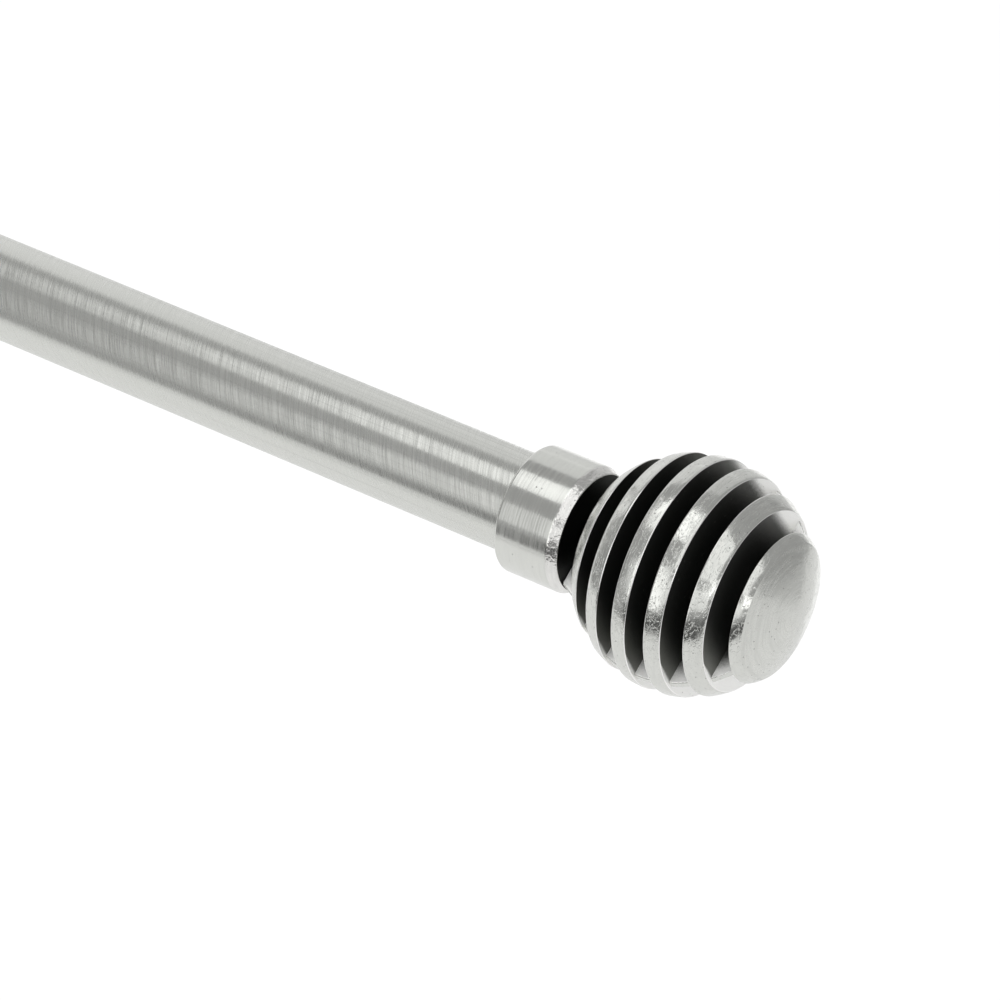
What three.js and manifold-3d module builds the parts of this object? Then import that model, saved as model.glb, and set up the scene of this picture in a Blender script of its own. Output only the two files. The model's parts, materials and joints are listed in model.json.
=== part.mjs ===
// Adjustable curtain rod with a slotted ball finial at each end and two wall brackets.
// Millimetres. +X runs along the rod to the right-hand finial, +Y points into the wall, +Z is up.
// The origin is the centre of the right wall plate's back face.
import * as THREE from 'three';
import { mergeVertices } from 'three/addons/utils/BufferGeometryUtils.js';
import Module from 'manifold-3d';

// ---- Driving dimensions -----------------------------------------------------------------------

// Clearances
const SEAT_GAP = 0.3;           // between faces that bear on each other
const SLIDE_GAP = 0.3;          // radial, between a shaft or tube and what it runs in

// Rod tubes
const ROD_R = 12.7;             // outer tube, 1 in across
const TUBE_WALL = 0.6;
const OUTER_LENGTH = 660;
const INNER_LENGTH = 640;
const BUSH_WALL = 0.5;          // sleeve of the mouth bushing
const BUSH_LENGTH = 18;
const BUSH_LIP = 1.6;
const GUIDE_HEAD = 6;
const GUIDE_STEM = 16;
const PLUG_LENGTH = 24;
const PLUG_CHAMFER = 1;

// Where the brackets stand
const BRACKET_SPAN = 560;       // from bracket to bracket
const OVERHANG = 290;           // from a bracket to the collar beyond it

// Finial: stations are measured along its axis from the collar's back face
const COLLAR_R = 16.4;
const COLLAR_NOSE_R = 15.2;
const COLLAR_LENGTH = 18;
const COLLAR_SHOULDER = 15.4;   // where the nose chamfer starts
const COLLAR_LIP = 0.8;         // rounding of the back edge
const ROD_IN_COLLAR = 8;
const BALL_R = 29.3;
const NECK_SLOT = 6.9;          // from the collar's nose to the first disc
const DISC_COUNT = 5;
const DISC_THICKNESS = 4.1;
const DISC_SLOT = 4.9;
const DISC_EDGE = 0.35;         // broken edge of each rim
const BALL_CENTRE = 46.9;
const DOME_BACK = 69.5;         // the end cap's back face
const DOME_R = 19.5;
const DOME_RISE = 6.2;
const DOME_EDGE = 0.5;
const CORE_R = 6.5;             // the stem that joins the discs
const WEB_THICKNESS = 2.4;      // the rib that crosses the slots
const WEB_ANGLE = 0.576;        // radians that the rib leans from level
const WEB_RECESS = 0.7;         // how far its edge lies inside the ball's surface
const STUD_R = 3;
const STUD_IN_BALL = 24;
const STUD_IN_PLUG = 16;
const NUT_ACROSS_FLATS = 10;
const NUT_HEIGHT = 3.4;

// Brackets: distances out of the wall are measured from the wall plate's back face
const PROJECTION = 90;          // wall to the cradle's centre
const PLATE_WIDTH = 28;
const PLATE_HEIGHT = 80;
const PLATE_THICKNESS = 3;
const PLATE_BEVEL = 1;
const SCREW_SPACING = 56;
const SCREW_HOLE_R = 2.3;
const COUNTERSINK_R = 4.6;
const SOCKET_R = 7;
const SOCKET_END = 55;          // its mouth's distance out of the wall
const SOCKET_FLOOR = 2;
const SOCKET_EDGE = 0.6;
const FLANGE_R = 11;
const FLANGE_THICKNESS = 3;
const FLANGE_FILLET = 2.5;
const BAR_R = 5;
const BAR_CHAMFER = 0.8;
const BAR_BACK = 22;            // its hidden end's distance out of the wall
const TENON_R = 2.5;            // the bar's stub, riveted through the cradle's back
const CRADLE_CLEARANCE = 1.5;   // radial, round the outer tube
const CRADLE_STRIP = 2.4;
const CRADLE_WIDTH = 22;
const CRADLE_EDGE = 0.5;
const BACK_RISE = 9;            // how far each side stands above the cradle's centre
const FRONT_RISE = 2.5;
const LIP_CURL_R = 4;
const LIP_CURL = 0.9;           // radians that the front lip turns outward
const BOSS_R = 4.5;
const BOSS_HEIGHT = 3.5;
const BOSS_FROM_MOUTH = 8;      // along the socket
const WELD_NUT_ACROSS_FLATS = 9;
const WELD_NUT_HEIGHT = 3.5;

// Thumb screws
const THUMB_R = 6;
const THUMB_HEIGHT = 7;
const THUMB_FLUTES = 14;
const FLUTE_DEPTH = 0.5;
const THUMB_EDGE = 0.6;
const SHANK_R = 2;
const SHANK_TIP = 0.5;

// Facets
const ROUND_SIDES = 32;
const MEDIUM_SIDES = 20;
const SMALL_SIDES = 12;
const RIM_STEPS = 2;
const DOME_STEPS = 5;

// ---- Sizes that follow from them --------------------------------------------------------------

const outerBore = ROD_R - TUBE_WALL;
const innerR = outerBore - BUSH_WALL - 2 * SLIDE_GAP;
const innerBore = innerR - TUBE_WALL;
const studHole = STUD_R + SLIDE_GAP;
const shankHole = SHANK_R + SLIDE_GAP;
const firstDisc = COLLAR_LENGTH + NECK_SLOT;
const discPitch = DISC_THICKNESS + DISC_SLOT;
const ballBack = COLLAR_LENGTH + SEAT_GAP;
const studHoleEnd = ballBack + STUD_IN_BALL + SEAT_GAP;
const cradleR = ROD_R + CRADLE_CLEARANCE;
const cradleBase = cradleR + CRADLE_STRIP;
const rodDrop = CRADLE_CLEARANCE - SEAT_GAP;         // the rod lies this far below the cradle's centre
const innerStep = ROD_R - innerR;                    // the left bracket stands this much higher

// ---- Materials --------------------------------------------------------------------------------

const brushedNickel = (tone) => new THREE.MeshStandardMaterial({ color: tone, roughness: 0.34, metalness: 1 });
const satinRod = () => brushedNickel(0xb9b6ae);
const satinFinial = () => brushedNickel(0xc2c0ba);
const satinBracket = () => brushedNickel(0xb4b1aa);
const plainSteel = () => new THREE.MeshStandardMaterial({ color: 0x8d8f92, roughness: 0.45, metalness: 1 });
const nylon = () => new THREE.MeshStandardMaterial({ color: 0xd9d8d2, roughness: 0.6, metalness: 0 });

// ---- Tools for making solids ------------------------------------------------------------------

const wasm = await Module();
wasm.setup();

// Turns a profile of [radius, station] corners round the Y axis. The corners run with the material
// on their left, and a profile that doesn't end on the axis closes on itself.
function turned(profile, sides = ROUND_SIDES) {
  const corners = profile.map(([radius, station]) => new THREE.Vector2(radius, station));
  if (corners[0].x > 0) corners.push(corners[0].clone());
  return new THREE.LatheGeometry(corners, sides);
}

// A closed mesh as a solid that can be joined and cut.
function toSolid(geometry) {
  const bare = geometry.clone();
  bare.deleteAttribute('normal');
  bare.deleteAttribute('uv');
  const merged = mergeVertices(bare, 1e-4);
  const corners = merged.index.array;
  const triVerts = [];
  for (let i = 0; i < corners.length; i += 3) {
    const [a, b, c] = corners.slice(i, i + 3);
    if (a !== b && b !== c && c !== a) triVerts.push(a, b, c);
  }
  return new wasm.Manifold(new wasm.Mesh({
    numProp: 3,
    vertProperties: merged.attributes.position.array,
    triVerts: new Uint32Array(triVerts),
  }));
}

function toGeometry(solid) {
  const { vertProperties, triVerts } = solid.getMesh();
  const geometry = new THREE.BufferGeometry();
  geometry.setAttribute('position', new THREE.BufferAttribute(vertProperties, 3));
  geometry.setIndex(new THREE.BufferAttribute(triVerts, 1));
  geometry.computeVertexNormals();
  return geometry;
}

// A straight round pin between two stations of the Y axis.
function pin(radius, from, to, sides = SMALL_SIDES) {
  return turned([[0, from], [radius, from], [radius, to], [0, to]], sides);
}

// Points along an arc in the [radius, station] plane, both ends included.
function arc(centreR, centreS, radius, from, to, steps) {
  return Array.from({ length: steps + 1 }, (_, i) => {
    const angle = from + (to - from) * i / steps;
    return [centreR + radius * Math.cos(angle), centreS + radius * Math.sin(angle)];
  });
}

function named(name, geometry, material) {
  const mesh = new THREE.Mesh(geometry, material);
  mesh.name = name;
  return mesh;
}

// ---- Finial -----------------------------------------------------------------------------------

// A cup over the rod's end, with a bore for the tube and a smaller one for the stud.
function collar(tubeR) {
  const bore = tubeR + SLIDE_GAP;
  const boreFloor = ROD_IN_COLLAR + NUT_HEIGHT + 2 * SEAT_GAP;
  return turned([
    [bore, 0],
    [COLLAR_R - COLLAR_LIP, 0],
    [COLLAR_R, COLLAR_LIP],
    [COLLAR_R, COLLAR_SHOULDER],
    [COLLAR_NOSE_R, COLLAR_LENGTH],
    [studHole, COLLAR_LENGTH],
    [studHole, boreFloor],
    [bore, boreFloor],
  ]);
}

// The corners of one disc from stem to stem. Its rim is a zone of the ball with both edges broken.
function discCorners(back) {
  const front = back + DISC_THICKNESS;
  const toCentre = (station) => Math.asin((station - BALL_CENTRE) / BALL_R);
  const rim = arc(0, BALL_CENTRE, BALL_R, toCentre(back + DISC_EDGE), toCentre(front - DISC_EDGE), RIM_STEPS);
  return [
    [CORE_R, back],
    [rim[0][0] - DISC_EDGE, back],
    ...rim,
    [rim[RIM_STEPS][0] - DISC_EDGE, front],
    [CORE_R, front],
  ];
}

// The corners of the end cap from the stem to the axis: a low dome on a flat back.
function domeCorners() {
  const rise = DOME_RISE - DOME_EDGE;
  const crownR = (DOME_R ** 2 + rise ** 2) / (2 * rise);
  const crownCentre = DOME_BACK + DOME_RISE - crownR;
  const edge = Math.asin((DOME_BACK + DOME_EDGE - crownCentre) / crownR);
  return [
    [CORE_R, DOME_BACK],
    [DOME_R - DOME_EDGE, DOME_BACK],
    ...arc(0, crownCentre, crownR, edge, Math.PI / 2, DOME_STEPS).slice(0, -1),
    [0, DOME_BACK + DOME_RISE],
  ];
}

// The rib that crosses every slot through the ball's axis. Its edge follows the ball's surface,
// and tapers to the collar's nose.
function web() {
  const slab = new THREE.BoxGeometry(3 * BALL_R, 4 * BALL_R, WEB_THICKNESS);
  slab.rotateY(WEB_ANGLE);
  const radius = BALL_R - WEB_RECESS;
  const from = Math.asin((firstDisc - BALL_CENTRE) / radius);
  const to = Math.asin((DOME_BACK - BALL_CENTRE) / radius);
  const envelope = turned([
    [0, ballBack],
    [COLLAR_NOSE_R - WEB_RECESS / 2, ballBack],
    ...arc(0, BALL_CENTRE, radius, from, to, DOME_STEPS),
    [0, DOME_BACK + 1],
  ]);
  return toSolid(slab).intersect(toSolid(envelope));
}

// The ball, one casting: a stem with its discs and end cap, the rib, and a blind hole for the stud.
function ball() {
  const corners = [[0, ballBack], [CORE_R, ballBack]];
  for (let i = 0; i < DISC_COUNT; i++) corners.push(...discCorners(firstDisc + i * discPitch));
  corners.push(...domeCorners());
  const hole = toSolid(pin(studHole, ballBack - 1, studHoleEnd));
  return toGeometry(toSolid(turned(corners)).add(web()).subtract(hole));
}

function stud() {
  const tail = ROD_IN_COLLAR - STUD_IN_PLUG;
  const tip = ballBack + STUD_IN_BALL;
  return turned([
    [0, tail],
    [STUD_R - SHANK_TIP, tail],
    [STUD_R, tail + SHANK_TIP],
    [STUD_R, tip - SHANK_TIP],
    [STUD_R - SHANK_TIP, tip],
    [0, tip],
  ], SMALL_SIDES);
}

// The nut that keeps the collar on the stud, lying between the rod's plug and the collar's floor.
function collarNut() {
  const cornerR = NUT_ACROSS_FLATS / Math.sqrt(3);
  const from = ROD_IN_COLLAR + SEAT_GAP;
  const hex = toSolid(pin(cornerR, from, from + NUT_HEIGHT, 6));
  const hole = toSolid(pin(studHole, from - 1, from + NUT_HEIGHT + 1));
  return toGeometry(hex.subtract(hole));
}

// The insert in the tube's end that the stud screws into.
function endPlug(bore) {
  const radius = bore - SLIDE_GAP;
  const back = ROD_IN_COLLAR - PLUG_LENGTH;
  return turned([
    [studHole, back],
    [radius - PLUG_CHAMFER, back],
    [radius, back + PLUG_CHAMFER],
    [radius, ROD_IN_COLLAR],
    [studHole, ROD_IN_COLLAR],
  ]);
}

// One finial with its plug, built along +Y from the collar's back face.
function finial(side, tubeR, tubeBore) {
  const group = new THREE.Group();
  group.add(named(`${side}_end_plug`, endPlug(tubeBore), plainSteel()));
  group.add(named(`${side}_collar_nut`, collarNut(), plainSteel()));
  group.add(named(`${side}_stud`, stud(), plainSteel()));
  group.add(named(`${side}_collar`, collar(tubeR), satinFinial()));
  group.add(named(`${side}_ball`, ball(), satinFinial()));
  return group;
}

// ---- Rod --------------------------------------------------------------------------------------

function tube(radius, length) {
  const bore = radius - TUBE_WALL;
  return turned([[bore, 0], [radius, 0], [radius, length], [bore, length]]);
}

// A nylon sleeve inside the outer tube's mouth, with a lip that covers the cut edge. The mouth is
// at station 0 and the tube lies beyond it.
function mouthBushing() {
  const bore = innerR + SLIDE_GAP;
  const lip = SEAT_GAP + BUSH_LIP;
  return turned([
    [bore, -lip],
    [ROD_R - BUSH_WALL, -lip],
    [ROD_R, BUSH_WALL - lip],
    [ROD_R, -SEAT_GAP],
    [bore + BUSH_WALL, -SEAT_GAP],
    [bore + BUSH_WALL, BUSH_LENGTH],
    [bore, BUSH_LENGTH],
  ]);
}

// A nylon plug in the inner tube's hidden end. Its head runs in the outer tube's bore. The tube
// ends at station 0, and the head stands beyond it.
function guidePlug() {
  const stemR = innerBore - SLIDE_GAP;
  const headR = outerBore - SLIDE_GAP;
  return turned([
    [0, -GUIDE_STEM],
    [stemR - PLUG_CHAMFER, -GUIDE_STEM],
    [stemR, PLUG_CHAMFER - GUIDE_STEM],
    [stemR, SEAT_GAP],
    [headR, SEAT_GAP],
    [headR, GUIDE_HEAD - PLUG_CHAMFER],
    [headR - PLUG_CHAMFER, GUIDE_HEAD],
    [0, GUIDE_HEAD],
  ]);
}

// ---- Bracket ----------------------------------------------------------------------------------

// A stadium-shaped plate with a bevelled front edge and two countersunk holes. It is drawn with
// its back face on Z = 0 and its front towards +Z.
function wallPlate() {
  const endR = PLATE_WIDTH / 2;
  const endCentre = PLATE_HEIGHT / 2 - endR;
  const outline = new THREE.Shape();
  outline.absarc(0, endCentre, endR, 0, Math.PI, false);
  outline.absarc(0, -endCentre, endR, Math.PI, 2 * Math.PI, false);
  const bothFacesBevelled = new THREE.ExtrudeGeometry(outline, {
    depth: 2 * (PLATE_THICKNESS - PLATE_BEVEL),
    curveSegments: 8,
    bevelEnabled: true,
    bevelThickness: PLATE_BEVEL,
    bevelSize: PLATE_BEVEL,
    bevelOffset: -PLATE_BEVEL,
    bevelSegments: 1,
  });
  bothFacesBevelled.translate(0, 0, PLATE_BEVEL - PLATE_THICKNESS);
  const backHalf = new THREE.BoxGeometry(2 * PLATE_WIDTH, 2 * PLATE_HEIGHT, 2 * PLATE_THICKNESS);
  backHalf.translate(0, 0, -PLATE_THICKNESS);
  let plate = toSolid(bothFacesBevelled).subtract(toSolid(backHalf));
  for (const height of [SCREW_SPACING / 2, -SCREW_SPACING / 2]) {
    const hole = countersunkHole();
    hole.rotateX(Math.PI / 2);
    hole.translate(0, height, 0);
    plate = plate.subtract(toSolid(hole));
  }
  return toGeometry(plate);
}

// The void of one screw hole along +Y, running past both faces of the plate.
function countersunkHole() {
  const sink = COUNTERSINK_R - SCREW_HOLE_R;
  return turned([
    [0, -1],
    [SCREW_HOLE_R, -1],
    [SCREW_HOLE_R, PLATE_THICKNESS - sink],
    [COUNTERSINK_R, PLATE_THICKNESS],
    [COUNTERSINK_R, PLATE_THICKNESS + 1],
    [0, PLATE_THICKNESS + 1],
  ], SMALL_SIDES);
}

// A flanged tube standing out of the plate along +Y, with a boss under it for the thumb screw.
function armSocket() {
  const foot = PLATE_THICKNESS + SEAT_GAP;
  const flangeTop = foot + FLANGE_THICKNESS;
  const bore = BAR_R + SLIDE_GAP;
  const filletFrom = flangeTop + FLANGE_FILLET;
  const body = turned([
    [0, foot],
    [FLANGE_R, foot],
    [FLANGE_R, flangeTop - SOCKET_EDGE],
    [FLANGE_R - SOCKET_EDGE, flangeTop],
    ...arc(SOCKET_R + FLANGE_FILLET, filletFrom, FLANGE_FILLET, 1.5 * Math.PI, Math.PI, RIM_STEPS),
    [SOCKET_R, SOCKET_END - SOCKET_EDGE],
    [SOCKET_R - SOCKET_EDGE, SOCKET_END],
    [bore, SOCKET_END],
    [bore, foot + SOCKET_FLOOR],
    [0, foot + SOCKET_FLOOR],
  ], MEDIUM_SIDES);
  const bossAt = SOCKET_END - BOSS_FROM_MOUTH;
  const boss = pin(BOSS_R, -SOCKET_R - BOSS_HEIGHT, -(SOCKET_R + bore) / 2);
  boss.rotateX(Math.PI / 2);
  boss.translate(0, bossAt, 0);
  const hole = pin(shankHole, -SOCKET_R - BOSS_HEIGHT - 1, 0);
  hole.rotateX(Math.PI / 2);
  hole.translate(0, bossAt, 0);
  return toGeometry(toSolid(body).add(toSolid(boss)).subtract(toSolid(hole)));
}

// The side view of the cradle: +X is towards the wall and +Y is up, about the cradle's centre.
function cradleOutline() {
  const outerR = cradleR + CRADLE_STRIP;
  const halfStrip = CRADLE_STRIP / 2;
  const curlX = -outerR - LIP_CURL_R;
  const tipR = LIP_CURL_R + halfStrip;
  const tipX = curlX + tipR * Math.cos(LIP_CURL);
  const tipY = FRONT_RISE + tipR * Math.sin(LIP_CURL);
  const outline = new THREE.Shape();
  outline.absarc(cradleR + halfStrip, BACK_RISE, halfStrip, 0, Math.PI, false);
  outline.absarc(0, 0, cradleR, 0, -Math.PI, true);
  outline.absarc(curlX, FRONT_RISE, LIP_CURL_R + CRADLE_STRIP, 0, LIP_CURL, false);
  outline.absarc(tipX, tipY, halfStrip, LIP_CURL, LIP_CURL + Math.PI, false);
  outline.absarc(curlX, FRONT_RISE, LIP_CURL_R, LIP_CURL, 0, true);
  outline.absarc(0, 0, outerR, Math.PI, 2 * Math.PI, false);
  return outline;
}

// The bent strip that the rod lies in, about its centre, with a hole in its back for the bar's
// tenon and one in its bottom for the thumb screw.
function cradle() {
  const strip = new THREE.ExtrudeGeometry(cradleOutline(), {
    depth: CRADLE_WIDTH - 2 * CRADLE_EDGE,
    curveSegments: 6,
    bevelEnabled: true,
    bevelThickness: CRADLE_EDGE,
    bevelSize: CRADLE_EDGE,
    bevelOffset: -CRADLE_EDGE,
    bevelSegments: 1,
  });
  strip.translate(0, 0, CRADLE_EDGE - CRADLE_WIDTH / 2);
  const towardsWall = new THREE.Vector3(0, 1, 0);
  const upwards = new THREE.Vector3(0, 0, 1);
  const alongRod = new THREE.Vector3(1, 0, 0);
  strip.applyMatrix4(new THREE.Matrix4().makeBasis(towardsWall, upwards, alongRod));
  const tenonHole = pin(TENON_R + SLIDE_GAP, cradleR - 1, cradleBase + 1);
  const screwHole = pin(shankHole, -cradleBase - 1, -cradleR + 1);
  screwHole.rotateX(Math.PI / 2);
  return toGeometry(toSolid(strip).subtract(toSolid(tenonHole)).subtract(toSolid(screwHole)));
}

// The bar that slides in the socket, from its tenon's end at the cradle's inner face to its back.
function slideBar() {
  const shoulder = cradleBase + SEAT_GAP;
  const reach = PROJECTION - BAR_BACK;
  return turned([
    [0, cradleR],
    [TENON_R, cradleR],
    [TENON_R, shoulder],
    [BAR_R - BAR_CHAMFER, shoulder],
    [BAR_R, shoulder + BAR_CHAMFER],
    [BAR_R, reach - BAR_CHAMFER],
    [BAR_R - BAR_CHAMFER, reach],
    [0, reach],
  ], MEDIUM_SIDES);
}

// The nut under the cradle that the thumb screw turns in, with its top at the origin.
function weldNut() {
  const hex = toSolid(pin(WELD_NUT_ACROSS_FLATS / Math.sqrt(3), -WELD_NUT_HEIGHT, 0, 6));
  const hole = toSolid(pin(shankHole, -WELD_NUT_HEIGHT - 1, 1));
  return toGeometry(hex.subtract(hole));
}

// A fluted thumb screw pointing up +Z: its head's top face is on Z = 0 and its shank rises to tip.
function thumbScrew(tip) {
  const outline = new THREE.Shape();
  const corners = 2 * THUMB_FLUTES;
  for (let i = 0; i < corners; i++) {
    const radius = THUMB_R - THUMB_EDGE - (i % 2) * FLUTE_DEPTH;
    const angle = 2 * Math.PI * i / corners;
    const place = new THREE.Vector2(radius * Math.cos(angle), radius * Math.sin(angle));
    if (i === 0) outline.moveTo(place.x, place.y);
    else outline.lineTo(place.x, place.y);
  }
  outline.closePath();
  const head = new THREE.ExtrudeGeometry(outline, {
    depth: THUMB_HEIGHT - 2 * THUMB_EDGE,
    bevelEnabled: true,
    bevelThickness: THUMB_EDGE,
    bevelSize: THUMB_EDGE,
    bevelSegments: 1,
  });
  head.translate(0, 0, THUMB_EDGE - THUMB_HEIGHT);
  const shank = turned([
    [0, -THUMB_HEIGHT / 2],
    [SHANK_R, -THUMB_HEIGHT / 2],
    [SHANK_R, tip - SHANK_TIP],
    [SHANK_R - SHANK_TIP, tip],
    [0, tip],
  ], SMALL_SIDES);
  shank.rotateX(Math.PI / 2);
  return toGeometry(toSolid(head).add(toSolid(shank)));
}

// One bracket about the centre of its wall plate's back face.
function bracket(side) {
  const group = new THREE.Group();
  const plate = named(`${side}_wall_plate`, wallPlate(), satinBracket());
  plate.rotation.x = Math.PI / 2;
  const socket = named(`${side}_arm_socket`, armSocket(), satinBracket());
  socket.rotation.z = Math.PI;
  const cup = named(`${side}_cradle`, cradle(), satinBracket());
  cup.position.y = -PROJECTION;
  const bar = named(`${side}_slide_bar`, slideBar(), satinBracket());
  bar.position.y = -PROJECTION;
  const nut = named(`${side}_weld_nut`, weldNut(), plainSteel());
  nut.rotation.x = Math.PI / 2;
  nut.position.set(0, -PROJECTION, -cradleBase - SEAT_GAP);
  const clampFace = -SOCKET_R - BOSS_HEIGHT - SEAT_GAP;
  const clamp = named(`${side}_projection_screw`, thumbScrew(-BAR_R - SEAT_GAP - clampFace), satinBracket());
  clamp.position.set(0, BOSS_FROM_MOUTH - SOCKET_END, clampFace);
  const holdFace = -cradleBase - WELD_NUT_HEIGHT - 2 * SEAT_GAP;
  const hold = named(`${side}_rod_screw`, thumbScrew(-cradleR - holdFace), satinBracket());
  hold.position.set(0, -PROJECTION, holdFace);
  group.add(plate, socket, bar, cup, nut, clamp, hold);
  return group;
}

// ---- Assembly ---------------------------------------------------------------------------------

const curtainRod = new THREE.Group();

const rightBracket = bracket('right');
const leftBracket = bracket('left');
leftBracket.position.set(-BRACKET_SPAN, 0, innerStep);
curtainRod.add(rightBracket, leftBracket);

// The rod's own group lies along its axis: X is measured from the right bracket.
const rod = new THREE.Group();
rod.position.set(0, -PROJECTION, -rodDrop);
curtainRod.add(rod);

const rightEnd = OVERHANG + ROD_IN_COLLAR;
const leftEnd = -BRACKET_SPAN - OVERHANG - ROD_IN_COLLAR;
const outerMouth = rightEnd - OUTER_LENGTH;
const innerHiddenEnd = leftEnd + INNER_LENGTH;

// Turns a piece that was built along +Y to point along +X or -X, and stands it at a place on X.
function layAlong(object, place, direction) {
  object.rotation.z = -direction * Math.PI / 2;
  object.position.x = place;
  rod.add(object);
}

layAlong(named('outer_tube', tube(ROD_R, OUTER_LENGTH), satinRod()), outerMouth, 1);
layAlong(named('inner_tube', tube(innerR, INNER_LENGTH), satinRod()), leftEnd, 1);
layAlong(named('mouth_bushing', mouthBushing(), nylon()), outerMouth, 1);
layAlong(named('guide_plug', guidePlug(), nylon()), innerHiddenEnd, 1);
layAlong(finial('right', ROD_R, outerBore), OVERHANG, 1);
layAlong(finial('left', innerR, innerBore), -BRACKET_SPAN - OVERHANG, -1);

export default curtainRod;
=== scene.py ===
"""The looks of an adjustable curtain rod: satin nickel tubes, slotted ball finials and two wall brackets.

The rod lies along X, the wall is towards +Y and up is +Z. Lengths are in metres.
"""

import json
from math import asin, ceil, cos, hypot, pi, radians, sin, sqrt, tan

import bmesh
import bpy
from mathutils import Matrix, Vector


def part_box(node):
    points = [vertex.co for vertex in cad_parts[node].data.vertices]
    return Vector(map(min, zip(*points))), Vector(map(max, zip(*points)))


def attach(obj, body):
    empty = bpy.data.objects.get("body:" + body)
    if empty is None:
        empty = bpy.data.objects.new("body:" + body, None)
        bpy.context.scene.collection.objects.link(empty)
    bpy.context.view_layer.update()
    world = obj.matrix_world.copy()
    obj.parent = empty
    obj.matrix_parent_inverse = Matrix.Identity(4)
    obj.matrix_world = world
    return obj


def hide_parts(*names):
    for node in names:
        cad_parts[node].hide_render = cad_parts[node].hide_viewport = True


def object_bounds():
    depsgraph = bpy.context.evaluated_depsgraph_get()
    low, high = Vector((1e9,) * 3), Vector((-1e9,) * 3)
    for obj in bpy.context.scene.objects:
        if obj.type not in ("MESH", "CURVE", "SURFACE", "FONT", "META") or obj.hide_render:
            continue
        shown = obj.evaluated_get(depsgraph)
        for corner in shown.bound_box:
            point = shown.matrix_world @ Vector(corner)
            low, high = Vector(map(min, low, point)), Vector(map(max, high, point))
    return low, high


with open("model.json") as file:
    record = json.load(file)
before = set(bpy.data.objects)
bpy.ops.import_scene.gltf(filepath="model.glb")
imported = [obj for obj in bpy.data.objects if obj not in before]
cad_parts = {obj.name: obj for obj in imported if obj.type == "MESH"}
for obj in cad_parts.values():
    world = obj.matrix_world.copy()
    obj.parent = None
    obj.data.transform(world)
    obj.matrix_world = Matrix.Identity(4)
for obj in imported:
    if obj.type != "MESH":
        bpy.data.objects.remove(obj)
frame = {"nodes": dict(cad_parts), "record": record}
CAD_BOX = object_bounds()

# ---- Sizes ----

MM = 0.001
SIDES = {"right": 1, "left": -1}

TUBE_WALL = 0.6 * MM
SLIDE_GAP = 0.3 * MM
FINE_EDGE = 0.2 * MM  # the rounding of an edge that is only broken
EDGE = 0.3 * MM
SOFT_EDGE = 0.4 * MM

COLLAR_NOSE_R = 15.2 * MM
COLLAR_SHOULDER = 15.4 * MM  # from the collar's back face to the nose chamfer
COLLAR_BORE_DEPTH = 12 * MM
COLLAR_NOSE_ROUND = 0.5 * MM
COLLAR_SHOULDER_ROUND = 1.6 * MM
COLLAR_MOUTH_ROUND = 0.9 * MM
STUD_HOLE_R = 3.3 * MM

# The ball, with its stations measured from the collar's back face
BALL_R = 29.3 * MM
BALL_CENTRE = 46.9 * MM
FIRST_DISC = 24.9 * MM
DISC_COUNT = 5
DISC_THICKNESS = 4.1 * MM
DISC_PITCH = 9 * MM
DISC_EDGE_DROP = 0.12 * MM  # how far buffing has taken the edges' corners below the ball's surface
EDGE_HIGHLIGHT_REACH = 0.22 * MM  # how far the painted highlight on a disc's two edges reaches over its rim
DOME_BACK = 69.5 * MM
DOME_R = 19.2 * MM
DOME_RIM_WIDTH = 2.4 * MM  # the polished band round the dome's edge, along the axis
DOME_RIM_R = 17.4 * MM  # where that band meets the crown
DOME_RIM_BULGE = 0.15 * MM
STUD_HOLE_END = 42.6 * MM
CORE_R = 6.5 * MM
CORE_FILLET = 0.6 * MM
RIB_THICKNESS = 2.4 * MM
RIB_ANGLE = 0.576  # radians that the rib leans from level
RIB_RECESS = 0.7 * MM
RIB_FILLET = 0.5 * MM
RIB_ROOT_R = 0.7 * CORE_R  # where the rib starts inside the stem
RIB_INTO_DOME = 1 * MM
RIM_STEPS = 10
DOME_STEPS = 28
RIB_STEPS = 48
SURFACE_SLACK = 0.1 * MM  # keeps a test clear of the surface it tests
FLAT_AHEAD = 0.97  # a face whose normal runs along the axis by more than this is flat across it
CHAMFER_AHEAD = 0.2
RIM_OUTWARD = 0.5

# The threads, the nuts and the plug
THREAD_PITCH = 1 * MM
THREAD_DEPTH = 0.45 * MM
THREAD_STEPS = 6  # rings to each turn of a thread
THREAD_FLANK = 1.25  # above 1, a thread has a flat root
STUD_TIP = 0.6 * MM
NUT_STEPS = 12
NUT_CORNER_DROP = 0.1 * MM  # how far inside its flats a nut's corners are turned off at its faces
NUT_CORNER_SLOPE = 1.7
PLUG_GROOVE = 0.4 * MM
PLUG_MOUTH_ROUND = 1 * MM

# Inside the tubes
BUSH_WALL = 0.5 * MM
BUSH_LIP = 1.6 * MM
BUSH_LIP_ROUND = 0.8 * MM
GUIDE_DISH_R = 5 * MM
GUIDE_DISH_DEPTH = 2 * MM
GUIDE_ROUND = 1 * MM

# Brackets
PLATE_BEVEL = 1 * MM
SCREW_SPACING = 56 * MM
SCREW_HOLE_R = 2.3 * MM
COUNTERSINK_R = 4.6 * MM
SOCKET_R = 7 * MM
SOCKET_FLOOR = 2 * MM
FLANGE_THICKNESS = 3 * MM
FLANGE_FILLET = 2.5 * MM
SOCKET_ROUND = 0.8 * MM  # at its mouth and round its flange
BOSS_R = 4.5 * MM
BOSS_FROM_MOUTH = 8 * MM
BOSS_ROUND = 0.5 * MM
BAR_CHAMFER = 0.8 * MM
TENON_R = 2.5 * MM
TENON_SHOULDER = 2.7 * MM  # from the tenon's end to the bar's
CRADLE_R = 14.2 * MM
CRADLE_STRIP = 2.4 * MM
CRADLE_EDGE = 0.5 * MM
BACK_RISE = 9 * MM
FRONT_RISE = 2.5 * MM
LIP_CURL_R = 4 * MM
LIP_CURL = 0.9  # radians that the front lip turns outward
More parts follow.
